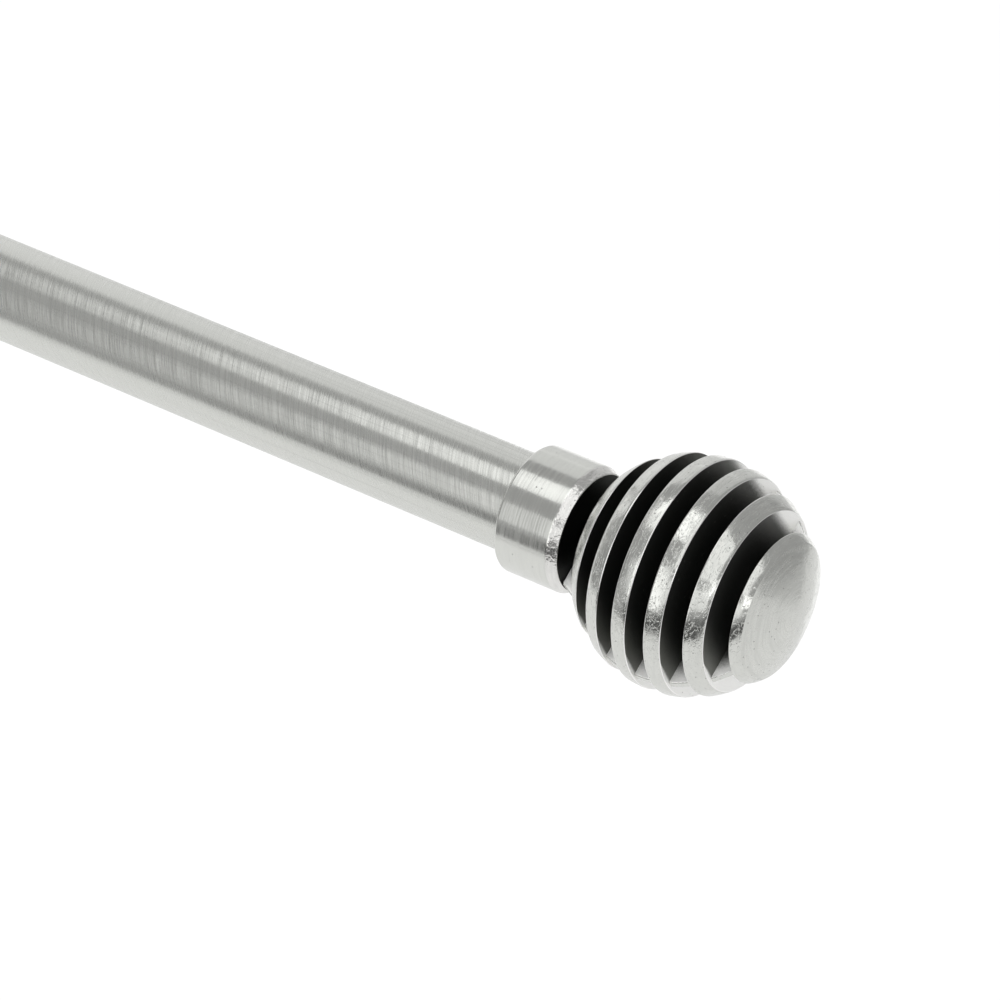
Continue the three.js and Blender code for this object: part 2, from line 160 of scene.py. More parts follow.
THUMB_R = 6 * MM
THUMB_HEIGHT = 7 * MM
THUMB_FLUTES = 14
THUMB_DISH_INSET = 2.2 * MM
THUMB_DISH_DEPTH = 0.5 * MM
FLUTE_DEPTH = 0.5 * MM
FLUTE_SIDES = 8
FLUTE_SHARPNESS = 0.7  # below 1, the flutes are broader than the ridges between them
THUMB_EDGE = 0.6 * MM
SHANK_R = 2 * MM
SHANK_THREAD_DEPTH = 0.25 * MM
SHANK_PITCH = 0.7 * MM
SHANK_TIP = 0.5 * MM
CUT_PAST = 1 * MM  # how far a cutter reaches past what it cuts

ROUND_SIDES = 192
MEDIUM_SIDES = 96
SMALL_SIDES = 48
FILLET_STEPS = 4
FILLET_SHARE = 0.45  # of a side's length, the most that a fillet takes at each end
CURVE_STEPS = 8
ARC_STEPS = 24
SHARP_ANGLE = radians(40)  # edges over it stay sharp
TINY = 1e-6

# ---- Studio ----

CAMERA_AZIMUTH = radians(35.43)
CAMERA_ELEVATION = radians(35.77)
CAMERA_LENS_MM = 180
SENSOR_MM = 36
CAMERA_NEAR = 0.05
CAMERA_FAR = 60
COLLAR_DISTANCE = 1.2139  # along the view, from the camera to the right collar's back face
COLLAR_RIGHT_OF_CENTRE = 7.74 * MM
COLLAR_BELOW_CENTRE = 1.95 * MM

WORLD_LIGHT = 0.72  # the white world's level in the light that falls on surfaces
LAMP_SIZE = (2.2, 1.0)
LAMP_POWER = 14
LAMP_PLACE = (-0.28, -0.7, 1.3)
LAMP_TILT = radians(25)

FLOOR_BELOW = 0.55
FLOOR_SIZE = 14
FLOOR_GREY = 0.86
FLOOR_GLOW = 1.17
FLOOR_GLOW_SEEN = 0.32  # the share of the glow in reflections
FLOOR_GLOW_CAMERA = 0.34  # the camera sees this much more of it

# Light cards bent round the rod, seen only in reflections. Angles run in degrees from the wall side
# through the top, stations along X in metres, and the levels are those at the left and right ends.
TENT_R = 0.9
CARD_R = 0.88
LOW_CARD_R = 0.86
LINE_R = 0.87
LIGHT_CARDS = {
    "room": (TENT_R, -22, 206, -3.4, 3.2, 0.42, 0.42),
    "low_room": (CARD_R, -36, -22, 0.75, 3.2, 0.62, 0.62),
    "far_back_card": (CARD_R, -22, 36, -3.4, -1.1, 0.88, 0.88),
    "back_card": (CARD_R, -22, 60, -1.1, -0.4, 0.93, 0.93),
    "back_card_line": (LINE_R, 21, 25, -3.4, 0.2, 1.0, 1.0),
    "back_card_fold": (LINE_R, -4, -1, -3.4, 0.2, 0.66, 0.66),
    "back_card_end": (CARD_R, -22, 58.5, -0.4, 0.38, 0.93, 0.60),
    "low_back_card": (LOW_CARD_R, -60, -14, -0.2, 0.4, 1.15, 1.15),
    "overhead_strip_far": (CARD_R, 50, 92, -3.4, -1.2, 0.95, 1.05),
    "overhead_strip": (CARD_R, 92, 105, -1.2, -0.39, 0.32, 0.30),
    "overhead_strip_end": (CARD_R, 92.5, 98, -0.39, -0.22, 0.30, 1.50),
    "overhead_strip_fade": (CARD_R, 98, 106, -0.39, -0.22, 0.28, 0.95),
    "overhead_strip_tail": (CARD_R, 106, 115, -0.42, -0.22, 0.36, 0.75),
    "overhead_key": (CARD_R, 83, 114, -0.22, 0.43, 1.45, 1.50),
    "right_strip": (CARD_R, 80, 140, 0.47, 1.4, 1.15, 1.15),
    "front_card": (CARD_R, 145, 177, -3.4, -0.45, 0.46, 0.34),
    "front_card_fade": (CARD_R, 145, 178, -0.45, -0.2, 0.28, 0.56),
    "front_card_end": (CARD_R, 145, 177, -0.2, 0, 0.78, 1.10),
    "key_card": (CARD_R, 141, 183, 0, 0.43, 1.50, 1.40),
    "right_front_card": (CARD_R, 150, 176, 0.47, 1.4, 1.05, 1.05),
    "dome_card": (LINE_R, 137, 158, 1.2, 2.3, 1.9, 1.9),
    "far_front_gap": (CARD_R, 184, 228, -3.4, -1.1, 0.36, 0.36),
    "front_gap": (CARD_R, 186, 198.5, -1.1, -0.15, 0.44, 0.50),
    "front_gap_end": (CARD_R, 185, 202, -0.15, 0.45, 0.12, 0.12),
    "right_front_gap": (CARD_R, 187, 210, 0.45, 2.5, 0.12, 0.14),
    "table_edge": (CARD_R, 211, 213, -1.1, 0.45, 0.62, 0.62),
    "table_line": (CARD_R, 236, 239, -3.4, 0.45, 0.80, 0.80),
    "table_far_line": (CARD_R, 257, 260, -3.4, 0.45, 0.97, 0.97),
}
# Upright cards beyond the rod's right-hand end: x, then y and z from the rod's axis, radius, first and
# last degree of the arc that bounds each, and level
END_CARDS = {
    "room_end": (3.2, 0, 0, 0.92, -4, 184, 0.58),
    "end_card": (1.5, -0.29, 0.19, 0.17, 0, 348.75, 1.35),
}
CARD_STEP = 1.5  # degrees between a card's rulings
END_CARD_STEPS = 31


class Value:
    """What a node gives. Arithmetic on it adds the math nodes that work it out."""

    def __init__(self, graph, socket):
        self.graph = graph
        self.socket = socket

    def __add__(self, other):
        return self.graph.calc("ADD", self, other)

    def __sub__(self, other):
        return self.graph.calc("SUBTRACT", self, other)

    def __rsub__(self, other):
        return self.graph.calc("SUBTRACT", other, self)

    def __mul__(self, other):
        return self.graph.calc("MULTIPLY", self, other)

    def __truediv__(self, other):
        return self.graph.calc("DIVIDE", self, other)


class Graph:
    """A node tree. Inputs are {name or number: what is set there, or a Value that is linked}."""

    def __init__(self, tree):
        self.tree = tree

    def node(self, kind, inputs=None, **settings):
        """A shader node, or a group's own input or output node."""
        node = self.tree.nodes.new(kind if kind.startswith("NodeGroup") else "ShaderNode" + kind)
        for name, setting in settings.items():
            setattr(node, name, setting)
        for name, given in (inputs or {}).items():
            if isinstance(given, Value):
                self.tree.links.new(given.socket, node.inputs[name])
            else:
                node.inputs[name].default_value = given
        return node

    def value(self, kind, output, inputs=None, **settings):
        """One output of a new node."""
        return Value(self, self.node(kind, inputs, **settings).outputs[output])

    def calc(self, operation, *operands):
        return self.value("Math", 0, dict(enumerate(operands)), operation=operation)

    def stepped(self, given, low, high):
        """0 below low, 1 above high, smooth between."""
        inputs = {"Value": given, "From Min": low, "From Max": high}
        return self.value("MapRange", "Result", inputs, interpolation_type="SMOOTHSTEP")

    def spot(self):
        """Where on its own piece a point lies."""
        return self.value("TexCoord", "Object")

    def parts(self, vector):
        return [Value(self, part) for part in self.node("SeparateXYZ", {0: vector}).outputs]

    def noise(self, place, scale, **inputs):
        return self.value("TexNoise", "Fac", {"Vector": place, "Scale": scale, **inputs})

    def mixed(self, first, second, factor, blend="MIX"):
        inputs = {"Factor": factor, "A": first, "B": second}
        return self.value("Mix", "Result", inputs, data_type="RGBA", blend_type=blend)

    def bumped(self, normal, height, depth, invert=False):
        return self.value("Bump", 0, {"Distance": depth, "Height": height, "Normal": normal}, invert=invert)


def new_material(name):
    """An empty material, and the graph of its nodes."""
    material = bpy.data.materials.new(name)
    material.use_nodes = True
    material.node_tree.nodes.clear()
    return material, Graph(material.node_tree)


def new_object(name, data):
    made = bpy.data.objects.new(name, data)
    bpy.context.scene.collection.objects.link(made)
    return made


def new_piece(name, vertices, faces):
    mesh = bpy.data.meshes.new(name)
    mesh.from_pydata(vertices, [], faces)
    return new_object(name, mesh)


def arc(centre, radius, first, last, steps):
    """Points on an arc between two angles in radians, both included."""
    angles = [first + (last - first) * i / steps for i in range(steps + 1)]
    return [(centre[0] + radius * cos(a), centre[1] + radius * sin(a)) for a in angles]


def seen(graph):
    """1 for what the camera, a reflection or glass sees, and 0 for the light that falls on surfaces."""
    rays = [graph.value("LightPath", f"Is {ray} Ray") for ray in ("Camera", "Glossy", "Transmission")]
    return graph.calc("MAXIMUM", graph.calc("MAXIMUM", *rays[:2]), rays[2])


def make_world():
    """White where it is seen, and a soft plain light where it falls on the object."""
    world = bpy.data.worlds.new("studio")
    bpy.context.scene.world = world
    world.use_nodes = True
    world.node_tree.nodes.clear()
    graph = Graph(world.node_tree)
    level = graph.value("MapRange", "Result", {"Value": seen(graph), "To Min": WORLD_LIGHT, "To Max": 1.0})
    background = graph.value("Background", 0, {"Color": (1, 1, 1, 1), "Strength": level})
    graph.node("OutputWorld", {"Surface": background})


def make_floor():
    low = CAD_BOX[0][2] - FLOOR_BELOW
    half = FLOOR_SIZE / 2
    corners = [(-half, -half, low), (half, -half, low), (half, half, low), (-half, half, low)]
    floor = new_piece("floor", corners, [(0, 1, 2, 3)])
    material, graph = new_material("pale_floor")
    matt = graph.value("BsdfDiffuse", 0, {"Color": (FLOOR_GREY, FLOOR_GREY, FLOOR_GREY, 1)})
    glow = graph.value("Emission", 0, {"Strength": FLOOR_GLOW})
    camera = graph.value("LightPath", "Is Camera Ray")
    share = seen(graph) * FLOOR_GLOW_SEEN + camera * FLOOR_GLOW_CAMERA
    both = graph.value("MixShader", 0, {"Fac": share, 1: matt, 2: glow})
    graph.node("OutputMaterial", {"Surface": both})
    floor.data.materials.append(material)


def stage_card(name, corners, faces, levels, material):
    card = new_piece(name, corners, faces)
    stored = card.data.attributes.new("level", "FLOAT_COLOR", "POINT")
    for corner, level in zip(stored.data, levels):
        corner.color = (level, level, level, 1)
    card.data.materials.append(material)
    for ray in ("camera", "diffuse", "shadow", "transmission"):
        setattr(card, f"visible_{ray}", False)


def make_light_cards(axis):
    """Cards that glow at the level stored on each of their corners."""
    material, graph = new_material("card_light")
    level = graph.value("Attribute", "Color", attribute_name="level")
    graph.node("OutputMaterial", {"Surface": graph.value("Emission", 0, {"Color": level})})
    for name, (radius, first, last, left, right, *levels) in LIGHT_CARDS.items():
        steps = ceil((last - first) / CARD_STEP)
        rulings = arc(axis.yz, radius, radians(first), radians(last), steps)
        corners = [(x, y, z) for y, z in rulings for x in (left, right)]
        faces = [(2 * i, 2 * i + 1, 2 * i + 3, 2 * i + 2) for i in range(steps)]
        stage_card(name, corners, faces, levels * (steps + 1), material)
    for name, (x, y, z, radius, first, last, level) in END_CARDS.items():
        centre = (axis.y + y, axis.z + z)
        edge = arc(centre, radius, radians(first), radians(last), END_CARD_STEPS)
        corners = [(x, *point) for point in edge]
        stage_card(name, corners, [tuple(range(len(edge)))], [level] * len(edge), material)


def make_camera(collar_back):
    """Looks along the azimuth and elevation, with the right collar a little off the picture's centre."""
    turn, lift = CAMERA_AZIMUTH, CAMERA_ELEVATION
    right = Vector((cos(turn), sin(turn), 0))
    ahead = Vector((-sin(turn) * cos(lift), cos(turn) * cos(lift), -sin(lift)))
    up = right.cross(ahead)
    place = collar_back - right * COLLAR_RIGHT_OF_CENTRE + up * COLLAR_BELOW_CENTRE
    place -= ahead * COLLAR_DISTANCE
    data = bpy.data.cameras.new("camera")
    data.lens = CAMERA_LENS_MM
    data.sensor_width = SENSOR_MM
    data.clip_start = CAMERA_NEAR
    data.clip_end = CAMERA_FAR
    camera = new_object("camera", data)
    camera.matrix_world = Matrix.Translation(place) @ Matrix((right, up, -ahead)).transposed().to_4x4()
    bpy.context.scene.camera = camera


def make_lamp():
    """One broad soft lamp over the rod's front."""
    data = bpy.data.lights.new("top_lamp", "AREA")
    data.shape = "RECTANGLE"
    data.size, data.size_y = LAMP_SIZE
    data.energy = LAMP_POWER
    lamp = new_object("top_lamp", data)
    lamp.location = LAMP_PLACE
    lamp.rotation_euler = (LAMP_TILT, 0, 0)
    lamp.visible_camera = False
    lamp.visible_glossy = False


# ---- Shader groups ----

LINE_NOISES = ((1.0, 0.0), (0.8, 31.0))  # fineness and offset of the noise that leans lines each way
LINE_FADE = (0.3, 0.7)
DRAW_LINES = 34.0  # noise cells to a radian round the tube
DRAW_SWAY = 4.0  # cells to a metre along it
DRAW_FADE = (0.61, 0.69)
PITS_PER_METRE = 700.0
PIT_FADE = (0.06, 0.16)  # from a pit's centre, in spacings
SCRATCHES_PER_METRE = 900.0
SCRATCH_SLANTS = ((0.5, 0.0), (-0.9, 0.3))  # radians and offset
SCRATCH_STRETCH = (1.0, 0.05, 0.4)
SCRATCH_FADE = (0.0, 0.035)
DASHES_PER_METRE = 2400.0
DASH_FADE = (0.46, 0.56)
PATCHES_PER_METRE = 260.0
PATCH_EDGE = 0.1

# The black in the slots, and the painted light on it. Each fade is where it starts and where it is full.
GRAIN_PER_METRE = 2600.0
WOBBLE = 2.2 * MM  # how much the grain moves the paint's edges
NECK_TAPER = 0.6  # the rib's slope between collar and first disc
END_FADE = (3.6 * MM, 7.4 * MM)  # from the slot's bare end
NEAR_COLLAR = (60 * MM, 30 * MM)  # stations
REACH_ABOVE = 7 * MM  # how much further paint reaches above the rib, near the collar
LESS_BELOW = 4.5 * MM  # how much sooner it ends below the rib
BESIDE_RIB = (0.91, 1.0)  # cosine of the angle from the rib
BARE_LINE = 0.08 * MM
BARE_LINE_BESIDE_RIB = 1.0 * MM  # added there
RIM_WOBBLE = 0.15
RIM_FADE = (0.7, 1.7)  # in widths of the bare line
RIB_SHADE_FADE = (2.2 * MM, 7.6 * MM)  # from the rib's edge; the black deepening inwards is painted shade
SPECKS = (700.0, 0.10, 0.10, 0.24)  # to a metre, share that is there, and fade
SPECK_DUST = 0.6
# Painted light: the slots' black is lightened towards their bare ends and the rib's edge, where light
# reaches in.
END_LIGHT_FADE = (16 * MM, 5 * MM)
END_PAINTED_LIGHT = 0.25
RIB_EDGE_LIGHT_FADE = (13 * MM, 1 * MM)
RIB_EDGE_PAINTED_LIGHT = 0.8


def make_group(name, build, *labels):
    """A node group with a number input for each label. What build makes of them are its outputs."""
    tree = bpy.data.node_groups.new(name, "ShaderNodeTree")
    for label in labels:
        tree.interface.new_socket(name=label, in_out="INPUT", socket_type="NodeSocketFloat")
    graph = Graph(tree)
    given = graph.node("NodeGroupInput").outputs
    made = build(graph, *(Value(graph, given[label]) for label in labels))
    for label in made:
        kind = "NodeSocketVector" if label == "Normal" else "NodeSocketFloat"
        tree.interface.new_socket(name=label, in_out="OUTPUT", socket_type=kind)
    graph.node("NodeGroupOutput", made)
    return tree


def turning_marks(graph, lines_per_metre, length, slant, lean_round, lean_along):
    """Fine lines that run round the X axis, as brushing on a lathe leaves them.

    Each line leans a little along and round the axis, so that it catches another part of the room.
    "Draw lines" are the few fine lines along the axis that drawing a tube through its die leaves.
    """
    x, y, z = graph.parts(graph.spot())
    radius = graph.calc("SQRT", y * y + z * z)
    turn = graph.calc("ARCTAN2", z * -1.0, y * -1.0)
    station = x + radius - turn * radius * slant
    per_length = graph.calc("DIVIDE", 1.0, length)
    noises = []
    for fineness, offset in LINE_NOISES:
        along = station * (lines_per_metre * fineness) + offset
        spread = graph.value("CombineXYZ", 0, {"X": along, "Y": y * per_length, "Z": z * per_length})
        noises.append(graph.noise(spread, 1.0, Detail=1.5, Roughness=0.6))
    drawn = graph.value("CombineXYZ", 0, {"X": turn * DRAW_LINES, "Y": x * DRAW_SWAY})
    draw_lines = graph.stepped(graph.noise(drawn, 1.0, Detail=1.0), *DRAW_FADE)

    surface = graph.value("NewGeometry", "Normal")
    axis = graph.value("VectorTransform", 0, {0: (1, 0, 0)}, vector_type="VECTOR", convert_from="OBJECT",
                       convert_to="WORLD")
    round_way = graph.value("VectorMath", 0, {0: axis, 1: surface}, operation="CROSS_PRODUCT")
    leaning = surface
    for way, noise, amount in ((round_way, noises[0], lean_round), (axis, noises[1], lean_along)):
        lean = graph.value("VectorMath", 0, {0: way, "Scale": (noise - 0.5) * amount}, operation="SCALE")
        leaning = graph.value("VectorMath", 0, {0: leaning, 1: lean}, operation="ADD")
    normal = graph.value("VectorMath", 0, {0: leaning}, operation="NORMALIZE")
    return {"Lines": graph.stepped(noises[0], *LINE_FADE), "Draw lines": draw_lines, "Normal": normal}


def cast_ripple(graph, ripples_per_metre):
    """The slow unevenness of a cast and hand-polished surface."""
    return {"Height": graph.noise(graph.spot(), ripples_per_metre, Detail=1.5, Distortion=0.6)}


def specks(graph, per_metre, amount, core, edge):
    """Round soft-edged specks, in the given share of the places where there could be one."""
    cells = graph.node("TexVoronoi", {"Vector": graph.spot(), "Scale": per_metre}).outputs
    pick = graph.value("SeparateColor", 0, {0: Value(graph, cells["Color"])})
    dot = 1.0 - graph.stepped(Value(graph, cells["Distance"]), core, edge)
    return dot * graph.calc("LESS_THAN", pick, amount)


def plating_pits(graph, amount):
    """Small scattered pits and specks in the plating."""
    return {"Mask": specks(graph, PITS_PER_METRE, amount, *PIT_FADE)}


def scratch_lines(graph, amount):
    """Thin straight scratches that cross each other at two slants."""
    spot = graph.spot()
    masks = []
    for slant, offset in SCRATCH_SLANTS:
        turned = graph.value("Mapping", 0, {"Vector": spot, "Rotation": (slant, slant / 2, slant),
                                            "Location": (offset, 0, 0), "Scale": SCRATCH_STRETCH})
        off_line = graph.calc("ABSOLUTE", graph.noise(turned, SCRATCHES_PER_METRE, Detail=1.0) - 0.5)
        masks.append(1.0 - graph.stepped(off_line, *SCRATCH_FADE))
    dashes = graph.stepped(graph.noise(spot, DASHES_PER_METRE), *DASH_FADE)
    least = 0.75 - amount * 0.5
    patches = graph.stepped(graph.noise(spot, PATCHES_PER_METRE), least, least + PATCH_EDGE)
    return {"Mask": graph.calc("MAXIMUM", *masks) * dashes * patches}


def slot_coat(graph, on_rib):
    """Where black covers the nickel in the ball's slots.

    On the upper side of the rib it thins out towards the rib's wall-side end, and on the lower side
    towards the other, where more of it is bare. The discs near the collar have most paint. A bare line
    is left along the rim, widest beside the rib.
    """
    spot = graph.spot()
    x, y, z = graph.parts(spot)
    level = graph.calc("SIGN", x) * y
    cosine, sine = cos(RIB_ANGLE), sin(RIB_ANGLE)
    along = level * cosine + z * sine
    above = z * cosine - level * sine
    towards_bare_end = along * graph.calc("SIGN", above)
    out = graph.calc("SQRT", y * y + z * z)
    station = graph.calc("ABSOLUTE", x)
    from_centre = graph.calc("MAXIMUM", station, FIRST_DISC) - BALL_CENTRE
    rim = graph.calc("SQRT", BALL_R ** 2 - from_centre * from_centre)
    rim = rim - graph.calc("MAXIMUM", FIRST_DISC - station, 0.0) * NECK_TAPER
    wobble = (graph.noise(spot, GRAIN_PER_METRE, Detail=3.0) - 0.5) * WOBBLE

    from_end = rim - towards_bare_end + wobble
    more_paint = graph.stepped(station, *NEAR_COLLAR) * REACH_ABOVE + LESS_BELOW
    painted_end = from_end + (more_paint * graph.calc("GREATER_THAN", above, 0.0) - LESS_BELOW)
    beside_rib = graph.stepped(towards_bare_end * -1.0 / out, *BESIDE_RIB)
    from_rim = (rim - out + wobble * RIM_WOBBLE) / (beside_rib * BARE_LINE_BESIDE_RIB + BARE_LINE)
    face_cover = graph.stepped(painted_end, *END_FADE) * graph.stepped(from_rim, *RIM_FADE)
    from_edge = rim - graph.calc("ABSOLUTE", along) + wobble
    # On the rib the black paint deepens away from its edge; the deepening is painted shade, darker deeper in
    # the slot.
    cover = graph.stepped(from_edge, *RIB_SHADE_FADE) * on_rib + face_cover * (1.0 - on_rib)

    # Painted light towards the slots' bare ends and the rib's edge; the specks are dust.
    end_light = graph.stepped(from_end, *END_LIGHT_FADE)
    rib_edge_light = graph.stepped(from_edge, *RIB_EDGE_LIGHT_FADE)
    painted_light = graph.calc("MAXIMUM", end_light * end_light * END_PAINTED_LIGHT, rib_edge_light * rib_edge_light * RIB_EDGE_PAINTED_LIGHT)
    dust_and_light = graph.calc("MAXIMUM", specks(graph, *SPECKS) * SPECK_DUST, painted_light)
    return {"Cover": cover, "Dust and light": dust_and_light * cover}


TURNING_MARKS = make_group("turning_marks", turning_marks, "Lines per metre", "Length", "Slant",
                           "Lean round", "Lean along")
CAST_RIPPLE = make_group("cast_ripple", cast_ripple, "Ripples per metre")
PLATING_PITS = make_group("plating_pits", plating_pits, "Amount")
SCRATCHES = make_group("scratches", scratch_lines, "Amount")
SLOT_COAT = make_group("slot_coat", slot_coat, "On rib")


def from_group(graph, group, *inputs):
    """The outputs by name of a shared group, with its own inputs."""
    node = graph.node("Group", dict(enumerate(inputs)), node_tree=group)
    return {socket.name: Value(graph, socket) for socket in node.outputs}


# ---- Materials ----

NICKEL = (0.665, 0.672, 0.641)
BARE_CAST = (0.92, 0.92, 0.90)
SLOT_BLACK = (0.012, 0.0124, 0.0108)
# Lighter than the black: the colour of the dust specks and of the painted light in the slots.
SLOT_DUST_AND_LIGHT = (0.162, 0.166, 0.145)
PIT_STAIN = (0.12, 0.12, 0.12)
PIT_STAIN_SHARE = 0.6
PIT_DEPTH = 0.05 * MM
ROUND_THE_AXIS = 0.25  # turns from the radial tangent to the way the highlight is drawn out
CLOUDS_PER_METRE = 420.0
CLOUD_FADE = (0.42, 0.68)
COAT_ROUGHNESS = 0.1  # that the paint adds


def metal(name, color, roughness, anisotropic=0.0, lines_per_metre=2500.0, line_length=0.004,
          slant=0.0, lean_round=0.0, lean_along=0.0, line_contrast=0.03, line_spread=0.04,
          draw_contrast=0.0, ripple_depth=0.0, ripples=160.0, grain_depth=0.0, grains=1500.0, pits=0.0,
          scratches=0.0, scratch_depth=0.01, patchiness=0.0, coat=None, bare_metallic=0.1):
    """Plated metal with turning marks, cast ripple, scratches and pits in the amounts given.

    Depths are in millimetres. A coat of 0 blackens it as the slots' faces are, and one of 1 as their
    rib is. What it leaves bare mirrors by the share bare_metallic.
    """
    material, graph = new_material(name)
    marks = from_group(graph, TURNING_MARKS, lines_per_metre, line_length, slant, lean_round, lean_along)
    tone = marks["Lines"] * line_contrast + (1.0 - 0.5 * line_contrast)
    if draw_contrast:
        tone = tone - marks["Draw lines"] * draw_contrast
    grey = graph.value("CombineColor", 0, {0: tone, 1: tone, 2: tone})
    paint = graph.mixed((*color, 1), grey, 1.0, "MULTIPLY")
    rough = marks["Lines"] * line_spread + (roughness - line_spread / 2)
    normal = marks["Normal"]
    metallic = 1.0
    for depth, fineness in ((ripple_depth, ripples), (grain_depth, grains)):
        if depth:
            normal = graph.bumped(normal, from_group(graph, CAST_RIPPLE, fineness)["Height"], depth * MM)
    if patchiness:
        cloud = from_group(graph, CAST_RIPPLE, CLOUDS_PER_METRE)["Height"]
        rough = rough + graph.stepped(cloud, *CLOUD_FADE) * patchiness
    if pits:
        mask = from_group(graph, PLATING_PITS, pits)["Mask"]
        normal = graph.bumped(normal, mask, PIT_DEPTH, invert=True)
        paint = graph.mixed(paint, (*PIT_STAIN, 1), mask * PIT_STAIN_SHARE)
    if scratches:
        mask = from_group(graph, SCRATCHES, scratches)["Mask"]
        normal = graph.bumped(normal, mask, scratch_depth * MM, invert=True)
    if coat is not None:
        coated = from_group(graph, SLOT_COAT, coat)
        paint = graph.mixed(paint, (*SLOT_BLACK, 1), coated["Cover"])
        # Dust specks, and painted light towards the slots' ends and the rib's edge.
        paint = graph.mixed(paint, (*SLOT_DUST_AND_LIGHT, 1), coated["Dust and light"])
        rough = rough + coated["Cover"] * COAT_ROUGHNESS
        metallic = (1.0 - coated["Cover"]) * bare_metallic
    inputs = {"Base Color": paint, "Metallic": metallic, "Roughness": rough, "Normal": normal}
    if anisotropic:
        tangent = graph.value("Tangent", 0, direction_type="RADIAL", axis="X")
        inputs |= {"Anisotropic": anisotropic, "Anisotropic Rotation": ROUND_THE_AXIS, "Tangent": tangent}
    graph.node("OutputMaterial", {"Surface": graph.value("BsdfPrincipled", 0, inputs)})
    return material


MATERIALS = {
    "rod_tube": metal("brushed_tube", NICKEL, 0.28, 0.78, lines_per_metre=3200.0, line_length=0.012,
                      slant=0.45, lean_round=0.02, lean_along=0.24, line_contrast=0.012, line_spread=0.14,
                      draw_contrast=0.11),
    "finial_collar": metal("satin_collar", NICKEL, 0.19, 0.4, lines_per_metre=3200.0, line_length=0.010,
                           lean_round=0.02, lean_along=0.12, line_contrast=0.06, line_spread=0.10,
                           ripple_depth=0.006, ripples=250.0, pits=0.15),
    "finial_ball": metal("polished_rim", NICKEL, 0.12, 0.3, lean_round=0.03, lean_along=0.05,
                         line_contrast=0.06, line_spread=0.06, ripple_depth=0.10, ripples=130.0,
                         grain_depth=0.013, grains=2000.0, pits=0.7, scratches=1.0, scratch_depth=0.03,
                         patchiness=0.12),
    "bracket": metal("satin_bracket", NICKEL, 0.32, line_contrast=0.04, ripple_depth=0.01, pits=0.2),
    "thumb_screw": metal("satin_screw", NICKEL, 0.3, line_contrast=0.04),
    "plain_steel": metal("zinc_steel", (0.5, 0.51, 0.52), 0.42, ripple_depth=0.02, ripples=300.0),
    "nylon": metal("nylon", (0.8, 0.8, 0.77), 0.55),
}
DOME_METAL = metal("spun_dome", NICKEL, 0.19, 0.45, lines_per_metre=2400.0, line_length=0.009,
                   lean_round=0.09, lean_along=0.17, line_contrast=0.10, line_spread=0.12, ripple_depth=0.09,
                   ripples=150.0, grain_depth=0.006, grains=1500.0, pits=0.7, scratches=0.9, patchiness=0.10)
SLOT_FACE = metal("sprayed_slot_face", BARE_CAST, 0.36, lean_along=0.05, grain_depth=0.02, pits=0.3,
                  coat=0.0, bare_metallic=0.85)
# The rib's black deepens inwards from its edge, partly paint and partly painted shade.
RIB_METAL = metal("sprayed_and_shaded_rib", BARE_CAST, 0.40, lean_along=0.08, grain_depth=0.02, scratches=1.0,
                  scratch_depth=0.05, coat=1.0)
SLOT_BACK = metal("black_nose", SLOT_BLACK, 0.45)
CUT_EDGE = metal("cut_chamfer", (0.74, 0.735, 0.715), 0.17, lean_along=0.3, lean_round=0.3,
                 line_contrast=0.1, ripple_depth=0.12, ripples=1100.0, pits=0.8, scratches=0.6)
# Lighter metal on the discs' two edges, as a painted highlight.
EDGE_HIGHLIGHT_METAL = metal("painted_disc_edge_highlight", (0.90, 0.895, 0.88), 0.15, ripple_depth=0.05, ripples=300.0)
SLOTS = {row["node"]: row["material_slot"] for row in frame["record"]["subparts"]}

# ---- Meshes ----

BODY_OF = {node: body for body, nodes in frame["record"]["behaviour"]["bodies"].items() for node in nodes}


def rounded(corners):
    """A closed outline of (station, radius, fillet) corners, with each fillet as a short arc."""
    outline = []
    count = len(corners)
    for i, (s, r, fillet) in enumerate(corners):
        here = Vector((s, r))
        if not fillet:
            outline.append(here)
            continue
        before = Vector(corners[i - 1][:2]) - here
        after = Vector(corners[(i + 1) % count][:2]) - here
        half = before.angle(after) / 2
        cut = min(fillet / tan(half), FILLET_SHARE * before.length, FILLET_SHARE * after.length)
        radius = cut * tan(half)
        middle = (before.normalized() + after.normalized()).normalized()
        centre = here + middle * (radius / sin(half))
        start = here + before.normalized() * cut - centre
        end = here + after.normalized() * cut - centre
        sweep = start.angle_signed(end)
        for step in range(FILLET_STEPS + 1):
            angle = -sweep * step / FILLET_STEPS
            outline.append(centre + Vector((start.x * cos(angle) - start.y * sin(angle),
                                            start.x * sin(angle) + start.y * cos(angle))))
    return [(p.x, p.y) for p in outline]


def revolved(name, outline, place, direction=1, sides=ROUND_SIDES, shape=None):
    """Turns a closed (station, radius) outline round the X axis, with stations from place along direction.

    A shape takes a station, radius and angle, and gives the radius that the surface has there.
    """
    vertices, faces, rows = [], [], []
    for s, r in outline:
        if r < TINY:
            rows.append([len(vertices)] * sides)
            vertices.append((direction * s, 0, 0))
            continue
        rows.append([len(vertices) + k for k in range(sides)])
        for k in range(sides):
            angle = 2 * pi * k / sides
            reach = shape(s, r, angle) if shape else r
            vertices.append((direction * s, reach * cos(angle), reach * sin(angle)))
    for row, after in zip(rows, rows[1:] + rows[:1]):
        if len(set(row)) == 1 and len(set(after)) == 1:
            continue
        for k in range(sides):
            j = (k + 1) % sides
            face = list(dict.fromkeys([row[k], row[j], after[j], after[k]]))
            faces.append(face[::-1] if direction > 0 else face)
    piece = new_piece(name, vertices, faces)
    piece.data.validate()
    piece.location = place
    return piece


